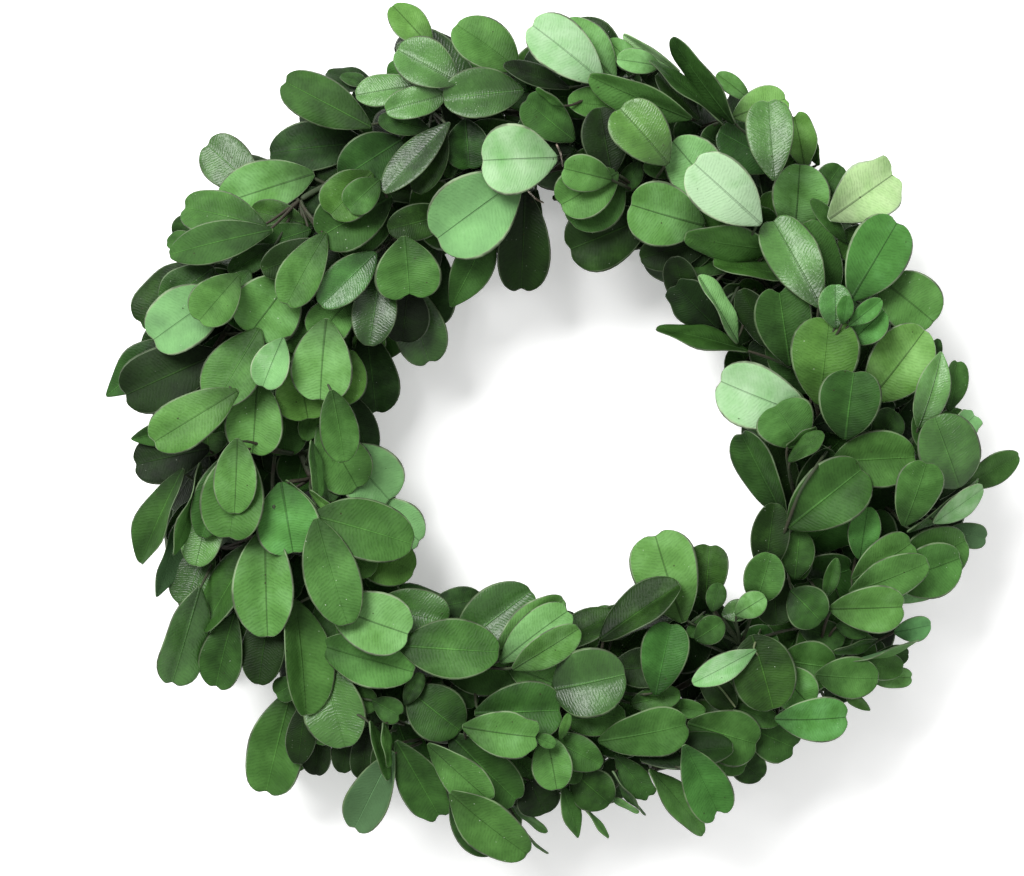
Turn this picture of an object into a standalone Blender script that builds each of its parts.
"""A small boxwood wreath lying on its back, front up: +Z is the way it faces.

A wire hoop carries four lanes of boxwood sprigs. Each turn of the binding wire holds two of
them, and every sprig points the same way round, so its tip covers the next one's cut end.
A sprig is one grown piece: a four-angled stem with its leaves in opposite pairs, of which one
is raised and one low, changing sides from pair to pair. A leaf that would touch another is bent
clear of it as it is placed, and the few that find no room are left out, as on a full wreath.
"""

import itertools
import math
import random
from types import SimpleNamespace

import bmesh
import bpy
from mathutils import Matrix, Vector
from mathutils.bvhtree import BVHTree

MM = 0.001
UP = Vector((0, 0, 1))
SEED = 7

# The hoop lies at the back, and the binding wire passes under it on the surface.
HOOP_RADIUS = 52 * MM
HOOP_WIRE_RADIUS = 1.1 * MM
HOOP_SEGMENTS = 36
HOOP_SIDES = 8
GAP = 0.3 * MM
BINDING_HALF = 0.26 * MM
BINDING_TURNS = 24
BINDING_ARC_STEPS = 5
BINDING_SAG = 0.4 * MM
FLAT_DROP = HOOP_WIRE_RADIUS + GAP + BINDING_HALF
FLAT_SHARES = (0.3, 0.7)
ARC_END_RAISE = 0.22 * MM
HOOP_Z = FLAT_DROP + BINDING_HALF

# A stem is square, with its corners this far from its middle, and a node where each pair grows.
STEM_HALF = 0.8 * MM
STEM_TIP_HALF = 0.65 * MM
STEM_LENGTH = {4: 33 * MM, 5: 38 * MM}
NODE_HALF = 0.5 * MM
FIRST_NODE = 12 * MM
LANE_DISTANCE = HOOP_WIRE_RADIUS + GAP + STEM_HALF
BINDING_DISTANCE = LANE_DISTANCE + STEM_HALF + GAP + BINDING_HALF + BINDING_SAG
CUT_END_BEFORE_TURN = 2.6 * MM
BOUND_LENGTH = 4 * MM
STEM_STARTS = (0, BOUND_LENGTH)
LIFT_SPEED = 2
FRAME_STEP = 0.5 * MM

# The lanes run round the hoop from its outer side over the front to its inner side, in degrees.
# at: where the stems lie round the hoop. lift: the way they leave it. face: the way the leaves look.
LANES = (
    SimpleNamespace(name="outer", at=8, lift=20, face=62, first_turn=0, pairs=5),
    SimpleNamespace(name="front_outer", at=62, lift=58, face=82, first_turn=1, pairs=4),
    SimpleNamespace(name="front_inner", at=118, lift=118, face=98, first_turn=0, pairs=4),
    SimpleNamespace(name="inner", at=172, lift=160, face=122, first_turn=1, pairs=4),
)
# How far the tip of each stem stands off the hoop, in mm, by its place round the lane.
STEM_REACH = {
    "outer": (9.5, 9.5, 11, 12, 17, 12, 15, 13, 9.5, 9.5, 12, 15),
    "front_outer": (15, 16, 14, 15, 17, 15, 16, 14, 16, 15, 14, 16),
    "front_inner": (15, 14, 16, 15, 14, 16, 15, 15, 14, 16, 15, 14),
    "inner": (9.5, 9.5, 13, 12, 9.5, 9.5, 9.5, 9.5, 13, 9.5, 9.5, 9.5),
}
# Where the ring is thin, mostly at the lower right, sprigs stand up instead of reaching out.
LIFT_CHANGES = {
    "outer": {1: 6, 8: 12, 9: 16},
    "front_inner": {9: -18, 10: -8},
    "inner": {0: -20, 1: -10, 4: -10, 6: -12, 9: -36, 10: -20, 11: -8},
}

# Leaves. Their length and width are those of the largest leaf of a sprig, and their angles are
# degrees from the stem, out sideways and up from its side.
LEAF_LENGTH = 17.6 * MM
LEAF_ASPECT = 0.63
PAIR_LENGTHS = {4: (0.92, 1.0, 1.0, 0.80), 5: (0.90, 1.0, 1.0, 0.95, 0.78)}
PAIR_ANGLES = {4: (50, 44, 39, 32), 5: (50, 47, 43, 38, 31)}
SMALLEST_TURN = 24
RAISED_ANGLE = 38
LOW_ANGLE = -4
SHINGLE_TILT = 16
LEAST_BEND, MOST_BEND = 8, 34
# How far a draw may stray to either side of its plan: degrees, or a share of what it changes.
STRAY = SimpleNamespace(
    reach=0.05, lift=8, face=12, length=0.05, cut_end=0.3, turn=10, rise=12, tilt=7, roll=16,
    pair_size=0.07, leaf_size=0.05, aspect=0.12,
)

# A blade is raised from its stem's side face. Its edge is given as shares of its length and width.
RIM_THICKNESS = 0.6 * MM
RIB_RISE = 0.3 * MM
PETIOLE = 0.4 * MM
ROOT_HALF = 0.6 * MM
NOTCH_AT = 0.955
BLADE_SHARES = (0.30, 0.68, 1.0)
BLADE_HALVES = (0.29, 0.49, 0.20)
# Points 0 to 3 are the root, 4 to 8 and 9 to 13 the sections, each left, rib, right, right low and
# left low, and 14 to 19 the two lobes with the notch between them, upper side first.
BLADE_FACES = (
    (0, 4, 8), (0, 8, 3), (0, 5, 4), (0, 1, 5), (1, 6, 5), (1, 7, 6), (1, 2, 7), (3, 8, 7), (3, 7, 2),
    (4, 5, 10, 9), (5, 6, 11, 10), (6, 7, 12, 11), (7, 8, 13, 12), (8, 4, 9, 13),
    (9, 10, 14), (10, 15, 14), (10, 16, 15), (10, 11, 16), (11, 12, 17, 16), (13, 9, 14, 19),
    (16, 17, 18, 15), (15, 18, 19, 14), (13, 19, 18), (13, 18, 12), (12, 18, 17),
)
BLADE_POINTS = 20
ROOT_POINTS = 4

# A guard is a shell round a blade, a little rounder and larger, that other sprigs stay clear of.
GUARD_SHARES = (-0.02, 0.32, 0.58, 0.84, 1.01)
GUARD_HALVES = (0.0, 0.34, 0.49, 0.43, 0.21)
GUARD_MARGIN = 0.16 * MM
FLOOR_CLEARANCE = 0.4 * MM
NEAR_SHARE = 1.3
# The ways to bend a leaf clear, in degrees, and how small it may be, with what each step costs.
TURNS = (0, 8, -8, 16, -16, 26, -26, 38)
RISES = (0, 8, -8, 16, -16, 26, 38)
ROLLS = (0, 16, -16, 32, -32)
SCALES = (1.0, 0.88, 0.76, 0.64)
TURN_COST, RISE_COST, ROLL_COST, SCALE_COST = 0.11, 0.125, 0.083, 14


def ring_frame(angle):
    """The hoop's centre line and the way out from it, at an angle round the wreath."""
    out = Vector((math.cos(angle), math.sin(angle), 0))
    return out * HOOP_RADIUS + UP * HOOP_Z, out


def across(out, degrees):
    """A direction across the hoop: 0 is outwards, 90 is the way the wreath faces."""
    psi = math.radians(degrees)
    return out * math.cos(psi) + UP * math.sin(psi)


def square_to(direction, axis):
    """The part of a direction that is square to an axis."""
    return (direction - axis * direction.dot(axis)).normalized()


def hoop_line():
    """The hoop's centre line, each point with a direction that a flat of the wire faces."""
    angles = [math.tau * step / HOOP_SEGMENTS for step in range(HOOP_SEGMENTS)]
    return [(ring_frame(angle)[0], UP) for angle in angles]


def binding_line():
    """The binding wire's centre line, each point with a direction that a flat of the wire faces.

    Each turn goes round over the stems and back under the hoop, where it lies flat on the surface.
    """
    corner = math.degrees(math.asin((FLAT_DROP - ARC_END_RAISE) / BINDING_DISTANCE))
    arc = 180 + 2 * corner
    line = []
    for turn in range(BINDING_TURNS):
        for step in range(BINDING_ARC_STEPS + 1):
            psi = arc * step / BINDING_ARC_STEPS - corner
            centre, out = ring_frame(turn_angle(turn, psi))
            line.append((centre + across(out, psi) * BINDING_DISTANCE, across(out, psi)))
        centre, out = ring_frame(turn_angle(turn + 1, -corner))
        start, end = line[-1][0], centre + across(out, -corner) * BINDING_DISTANCE
        for share in FLAT_SHARES:
            point = start.lerp(end, share)
            point.z = HOOP_Z - FLAT_DROP
            line.append((point, -UP))
    return line


def turn_angle(turn, psi):
    """How far round the wreath the binding wire is where a turn of it crosses a direction psi."""
    return math.tau * (turn + psi / 360) / BINDING_TURNS


def stem_point(sprig, distance):
    """The stem's centre line at a distance from its cut end."""
    centre, out = ring_frame(sprig.start + distance / sprig.turn_radius)
    rise = max(0.0, (distance - BOUND_LENGTH) / (sprig.length - BOUND_LENGTH))
    swung = min(1.0, LIFT_SPEED * rise * rise * (3 - 2 * rise))
    psi = sprig.at + (sprig.lift - sprig.at) * swung
    return centre + across(out, psi) * (LANE_DISTANCE + sprig.reach * rise)


def stem_frame(sprig, distance):
    """Point, forward, face and left directions of the stem at a distance from its cut end."""
    point, before = stem_point(sprig, distance), stem_point(sprig, distance - FRAME_STEP)
    forward = (stem_point(sprig, distance + FRAME_STEP) - before).normalized()
    _, out = ring_frame(sprig.start + distance / sprig.turn_radius)
    bound = max(0.0, min(1.0, distance / FIRST_NODE))
    face = square_to(across(out, sprig.at + (sprig.face - sprig.at) * bound), forward)
    return point, forward, face, face.cross(forward)


def plan_sprigs(rng):
    """Every sprig with its nodes, in the order in which the wire binds them."""
    sprigs = []
    for turn in range(BINDING_TURNS):
        for lane in LANES:
            if turn % 2 == lane.first_turn:
                sprigs.append(plan_sprig(lane, turn, rng))
    return sprigs


def stray(rng, spread):
    """A draw to either side of nothing."""
    return rng.uniform(-spread, spread)


def plan_sprig(lane, turn, rng):
    """One sprig: where it is bound, how it leaves the hoop, and its nodes."""
    place = turn // 2
    reach = STEM_REACH[lane.name][place] * (1 + stray(rng, STRAY.reach)) * MM
    lift = lane.lift + LIFT_CHANGES.get(lane.name, {}).get(place, 0) + stray(rng, STRAY.lift)
    before_turn = CUT_END_BEFORE_TURN * (1 + stray(rng, STRAY.cut_end))
    sprig = SimpleNamespace(
        name=f"sprig_{lane.name}_{place + 1:02d}",
        at=lane.at,
        lift=lift,
        face=lane.face + stray(rng, STRAY.face),
        reach=reach,
        length=STEM_LENGTH[lane.pairs] * (1 + stray(rng, STRAY.length)),
        turn_radius=HOOP_RADIUS + reach / 2 * math.cos(math.radians(lift)),
        start=turn_angle(turn, lane.at) - before_turn / HOOP_RADIUS,
    )
    spacing = (sprig.length - NODE_HALF - FIRST_NODE) / (lane.pairs - 1)
    sprig.nodes = [FIRST_NODE + spacing * node for node in range(lane.pairs)]
    first_raised = rng.choice((1, -1))
    sprig.leaves = []
    for node in range(lane.pairs):
        sprig.leaves += plan_pair(sprig, node, first_raised * (-1) ** node, rng)
    return sprig


def plan_pair(sprig, node, raised_side, rng):
    """The two leaves of a node as they would be if the sprig stood alone: one raised, one low."""
    pairs = len(sprig.nodes)
    size = LEAF_LENGTH * PAIR_LENGTHS[pairs][node] * (1 + stray(rng, STRAY.pair_size))
    pair = []
    for side, rise in ((raised_side, RAISED_ANGLE), (-raised_side, LOW_ANGLE)):
        leaf = SimpleNamespace(
            sprig=sprig,
            node=node,
            side=side,
            raised=side == raised_side,
            turn=PAIR_ANGLES[pairs][node] + stray(rng, STRAY.turn),
            rise=rise + stray(rng, STRAY.rise),
            tilt=SHINGLE_TILT + stray(rng, STRAY.tilt),
            roll=stray(rng, STRAY.roll),
            bend=rng.uniform(LEAST_BEND, MOST_BEND),
            length=size * (1 + stray(rng, STRAY.leaf_size)),
            aspect=LEAF_ASPECT * (1 + stray(rng, STRAY.aspect)),
        )
        pair.append(leaf)
    return pair


def pose_leaf(leaf, turn=0, rise=0, roll=0, scale=1.0):
    """Works out where a leaf is, turned, raised, rolled or shrunk from its plan."""
    sprig = leaf.sprig
    point, forward, face, left = stem_frame(sprig, sprig.nodes[leaf.node])
    elevation = math.radians(leaf.rise)
    spread = left * (leaf.side * math.cos(elevation)) + face * math.sin(elevation)
    open_angle = math.radians(max(leaf.turn + turn, SMALLEST_TURN))
    axis = forward * math.cos(open_angle) + spread * math.sin(open_angle)
    tilt = math.radians(leaf.tilt + rise)
    axis = (axis + face * math.tan(tilt)).normalized()
    looks = face * math.cos(tilt) - forward * math.sin(tilt)
    normal = Matrix.Rotation(math.radians(leaf.roll + roll), 3, axis) @ square_to(looks, axis)
    flank = math.sqrt(0.5) * stem_half(sprig, sprig.nodes[leaf.node])
    leaf.root = point + left * leaf.side * (flank + PETIOLE)
    leaf.axis, leaf.normal, leaf.across = axis, normal, normal.cross(axis)
    leaf.span = leaf.length * scale
    leaf.width = leaf.span * leaf.aspect
    return leaf


def rib_point(leaf, share):
    """The middle of the blade at a share of its length, and its normal there. The blade bends back."""
    bend = math.radians(leaf.bend)
    along = leaf.span * math.sin(bend * share) / bend
    drop = leaf.span * (1 - math.cos(bend * share)) / bend
    normal = leaf.normal * math.cos(bend * share) + leaf.axis * math.sin(bend * share)
    return leaf.root + leaf.axis * along - leaf.normal * drop, normal


def blade_section(leaf, share, half, margin=0.0):
    """A cross section of the blade: left, rib, right, right low and left low. It thickens to its root."""
    middle, normal = rib_point(leaf, share)
    rooted = max(0.0, 1 - share / BLADE_SHARES[0])
    reach = leaf.across * (half * leaf.width + ROOT_HALF * rooted + margin)
    thick = normal * (0.5 * RIM_THICKNESS * (1 + rooted) + margin)
    return [
        middle + reach + thick,
        middle + thick + normal * RIB_RISE * (1 - rooted),
        middle - reach + thick,
        middle - reach - thick,
        middle + reach - thick,
    ]


def guard_of(leaf):
    """The points and faces of a leaf's guard."""
    points = []
    for share, half in zip(GUARD_SHARES, GUARD_HALVES):
        points += blade_section(leaf, share, half, GUARD_MARGIN)
    return points, tube_faces(len(GUARD_SHARES), len(points) // len(GUARD_SHARES))


def blade_shape(leaf):
    """The leaf itself: points and faces, open at its root, whose corners on the stem come first."""
    ends = [leaf.sprig.nodes[leaf.node] + end for end in (-NODE_HALF, NODE_HALF)]
    points = list(root_corners(leaf, *[stem_corners(leaf.sprig, end) for end in ends]))
    *sections, tip = [blade_section(leaf, *pair) for pair in zip(BLADE_SHARES, BLADE_HALVES)]
    for section in sections:
        points += section
    left_top, _, right_top, right_low, left_low = tip
    notch, normal = rib_point(leaf, NOTCH_AT)
    depth = normal * (0.5 * RIM_THICKNESS)
    points += [left_top, notch + depth, right_top, right_low, notch - depth, left_low]
    return points, split_faces(BLADE_FACES)


def blade_names(leaf):
    """Names for the points of a blade. Those of its root are the numbers of its stem's corners."""
    rear = 4 * (len(STEM_STARTS) + 2 * leaf.node)
    root = root_corners(leaf, range(rear, rear + 4), range(rear + 4, rear + 8))
    return [*root, *((leaf.node, leaf.side, point) for point in range(ROOT_POINTS, BLADE_POINTS))]


def stem_corners(sprig, distance, margin=0.0):
    """The four corners of the stem: upper left, lower left, lower right, upper right."""
    point, _, face, left = stem_frame(sprig, distance)
    half = (stem_half(sprig, distance) + margin) * math.sqrt(0.5)
    return [point + (left * x + face * y) * half for x, y in ((1, 1), (1, -1), (-1, -1), (-1, 1))]


def root_corners(leaf, rear, front):
    """The corners of the stem's side face that a leaf grows from, starting at the leaf's upper left."""
    if leaf.side > 0:
        return rear[0], front[0], front[1], rear[1]
    return front[3], rear[3], rear[2], front[2]


def split_faces(faces):
    """Splits each face into triangles that fan out from its first corner."""
    return [(face[0], *pair) for face in faces for pair in zip(face[1:], face[2:])]


def tube_faces(loops, sides, closed=False):
    """Triangles between successive loops, and a cap at each end unless the tube is closed on itself."""
    faces = []
    for loop in range(loops if closed else loops - 1):
        after = (loop + 1) % loops
        for side in range(sides):
            beside = (side + 1) % sides
            faces.append(
                (loop * sides + side, loop * sides + beside, after * sides + beside, after * sides + side)
            )
    if not closed:
        faces.append(tuple(range(sides)))
        faces.append(tuple(reversed(range((loops - 1) * sides, loops * sides))))
    return split_faces(faces)


def ball_of(points):
    """The middle of some points and their furthest distance from it."""
    middle = sum(points, Vector()) / len(points)
    return middle, max((point - middle).length for point in points)


class Shell:
    """A closed surface that leaves have to stay clear of, with a ball round it for a quick test.

    Shells that belong to one sprig may share corners, which have the same names in both.
    """

    def __init__(self, points, faces, sprig=None, names=None):
        self.sprig, self.faces, self.names = sprig, faces, names
        self.middle, self.reach = ball_of(points)
        self.tree = BVHTree.FromPolygons(points, faces)
        self.body = self

    def is_near(self, root, length):
        """Whether a leaf of this length, grown from this root, could touch the shell."""
        return (self.middle - root).length < self.reach + NEAR_SHARE * length

    def meetings(self, other):
        """Pairs of faces of the two shells that touch."""
        gap = (self.middle - other.middle).length - self.reach - other.reach
        return self.tree.overlap(other.tree) if gap < 0 else ()

    def corners(self, face):
        """The names of a face's corners."""
        return {self.names[corner] for corner in self.faces[face]}

    def crosses(self, other):
        """Whether faces cut through each other, leaving out those that meet at a shared corner."""
        return any(not self.corners(a) & other.corners(b) for a, b in self.meetings(other))


def stem_shell(sprig, margin):
    """The stem as a square tube from its cut end to its tip, a margin larger all round."""
    points = []
    for distance in stem_stations(sprig):
        points += stem_corners(sprig, distance, margin)
    return points, tube_faces(len(points) // 4, 4)


def stem_stations(sprig):
    """Where the stem has a cross section: its cut end, where the wire lets go, and around each node."""
    around = [node + end for node in sprig.nodes for end in (-NODE_HALF, NODE_HALF)]
    return [*STEM_STARTS, *around]


def stem_half(sprig, distance):
    """The stem thins from its cut end to its tip."""
    return STEM_HALF + (STEM_TIP_HALF - STEM_HALF) * distance / sprig.length


def bending_moves():
    """Ways to move a leaf that is in the way, the smallest move first."""
    moves = []
    for turn, rise, roll, scale in itertools.product(TURNS, RISES, ROLLS, SCALES):
        bent = abs(turn) * TURN_COST + abs(rise) * RISE_COST + abs(roll) * ROLL_COST
        moves.append((bent + (1 - scale) * SCALE_COST, turn, rise, roll, scale))
    return [move[1:] for move in sorted(moves)]


def clear_shell(leaf, shells):
    """The leaf's shell if it touches nothing and stays off the surface, or None."""
    points, faces = guard_of(leaf)
    if min(point.z for point in points) < FLOOR_CLEARANCE:
        return None
    whole = Shell(points, faces, leaf.sprig)
    whole.body = Shell(*blade_shape(leaf), leaf.sprig, blade_names(leaf))
    if whole.body.crosses(whole.body):
        return None
    for other in shells:
        if whole.body.crosses(other.body) if other.sprig is leaf.sprig else whole.meetings(other):
            return None
    return whole


def place_leaves(sprigs, wires):
    """Settles every leaf, tips first, bending each clear of what is already there."""
    shells = list(wires)
    for sprig in sprigs:
        stem = Shell(*stem_shell(sprig, GUARD_MARGIN), sprig)
        points, faces = stem_shell(sprig, 0.0)
        stem.body = Shell(points, faces, sprig, range(len(points)))
        shells.append(stem)
    moves = bending_moves()
    waiting = [leaf for sprig in sprigs for leaf in sprig.leaves]
    waiting.sort(key=lambda leaf: (len(leaf.sprig.nodes) - leaf.node, not leaf.raised))
    for leaf in waiting:
        near = [shell for shell in shells if shell.is_near(pose_leaf(leaf).root, leaf.length)]
        for move in moves:
            shell = clear_shell(pose_leaf(leaf, *move), near)
            if shell:
                shells.append(shell)
                break
        else:
            leaf.sprig.leaves.remove(leaf)
    placed = sum(len(sprig.leaves) for sprig in sprigs)
    print(f"{placed} leaves placed, {len(waiting) - placed} left out")


def sprig_object(sprig, material):
    """One sprig: a square stem whose side faces at each node are drawn out into leaves."""
    mesh = bmesh.new()
    points, faces = stem_shell(sprig, 0.0)
    stem = [mesh.verts.new(point) for point in points]
    rooted = set()
    for leaf in sprig.leaves:
        points, blade_faces = blade_shape(leaf)
        names = blade_names(leaf)[:ROOT_POINTS]
        rooted.add(frozenset(names))
        verts = [stem[name] for name in names]
        verts += [mesh.verts.new(point) for point in points[ROOT_POINTS:]]
        for face in blade_faces:
            mesh.faces.new([verts[corner] for corner in face])
    for face in faces:
        if not any(root.issuperset(face) for root in rooted):
            mesh.faces.new([stem[corner] for corner in face])
    return mesh_object(sprig.name, mesh, material)


def mesh_object(name, mesh, material):
    """Makes an object of a finished bmesh, with its faces turned outwards."""
    bmesh.ops.recalc_face_normals(mesh, faces=mesh.faces)
    data = bpy.data.meshes.new(name)
    mesh.to_mesh(data)
    mesh.free()
    data.materials.append(material)
    made = bpy.data.objects.new(name, data)
    bpy.context.collection.objects.link(made)
    return made


def wire_shell(line, corner, sides):
    """A closed wire round a line of points. Each section has a flat that faces its point's direction."""
    points = []
    for index, (point, facing) in enumerate(line):
        after, before = line[(index + 1) % len(line)][0], line[index - 1][0]
        forward = (after - before).normalized()
        facing = square_to(facing, forward)
        beside = forward.cross(facing)
        for side in range(sides):
            turn = math.tau * (side + 0.5) / sides
            points.append(point + (facing * math.cos(turn) + beside * math.sin(turn)) * corner)
    return points, tube_faces(len(line), sides, closed=True)


def wire_object(name, shell, material):
    """One of the two wires, with its flats blended round it."""
    points, faces = shell
    mesh = bmesh.new()
    verts = [mesh.verts.new(point) for point in points]
    for face in faces:
        mesh.faces.new([verts[corner] for corner in face])
    made = mesh_object(name, mesh, material)
    made.data.shade_smooth()
    return made


def material_of(name, colour, roughness, metallic=0.0):
    """A plain material with its own name."""
    material = bpy.data.materials.new(name)
    material.use_nodes = True
    shader = material.node_tree.nodes["Principled BSDF"]
    shader.inputs["Base Color"].default_value = (*colour, 1)
    shader.inputs["Roughness"].default_value = roughness
    shader.inputs["Metallic"].default_value = metallic
    material.diffuse_color = (*colour, 1)
    return material


def stand_at_origin(objects):
    """Moves the finished wreath so that the middle of its base is the origin."""
    points = [vertex.co for made in objects for vertex in made.data.vertices]
    low = Vector([min(point[axis] for point in points) for axis in range(3)])
    high = Vector([max(point[axis] for point in points) for axis in range(3)])
    shift = Matrix.Translation((-(low.x + high.x) / 2, -(low.y + high.y) / 2, -low.z))
    for made in objects:
        made.data.transform(shift)


def main():
    for old in list(bpy.data.objects):
        bpy.data.objects.remove(old)
    iron = material_of("hoop_iron", (0.10, 0.09, 0.08), 0.5, 0.8)
    bronze = material_of("binding_wire", (0.30, 0.25, 0.21), 0.4, 0.9)
    leaf_green = material_of("boxwood_leaf", (0.10, 0.26, 0.06), 0.45)

    hoop = wire_shell(hoop_line(), HOOP_WIRE_RADIUS, HOOP_SIDES)
    binding = wire_shell(binding_line(), BINDING_HALF * math.sqrt(2), 4)
    sprigs = plan_sprigs(random.Random(SEED))
    place_leaves(sprigs, [Shell(*hoop), Shell(*binding)])

    objects = [wire_object("hoop", hoop, iron), wire_object("binding_wire", binding, bronze)]
    objects += [sprig_object(sprig, leaf_green) for sprig in sprigs]
    stand_at_origin(objects)


main()
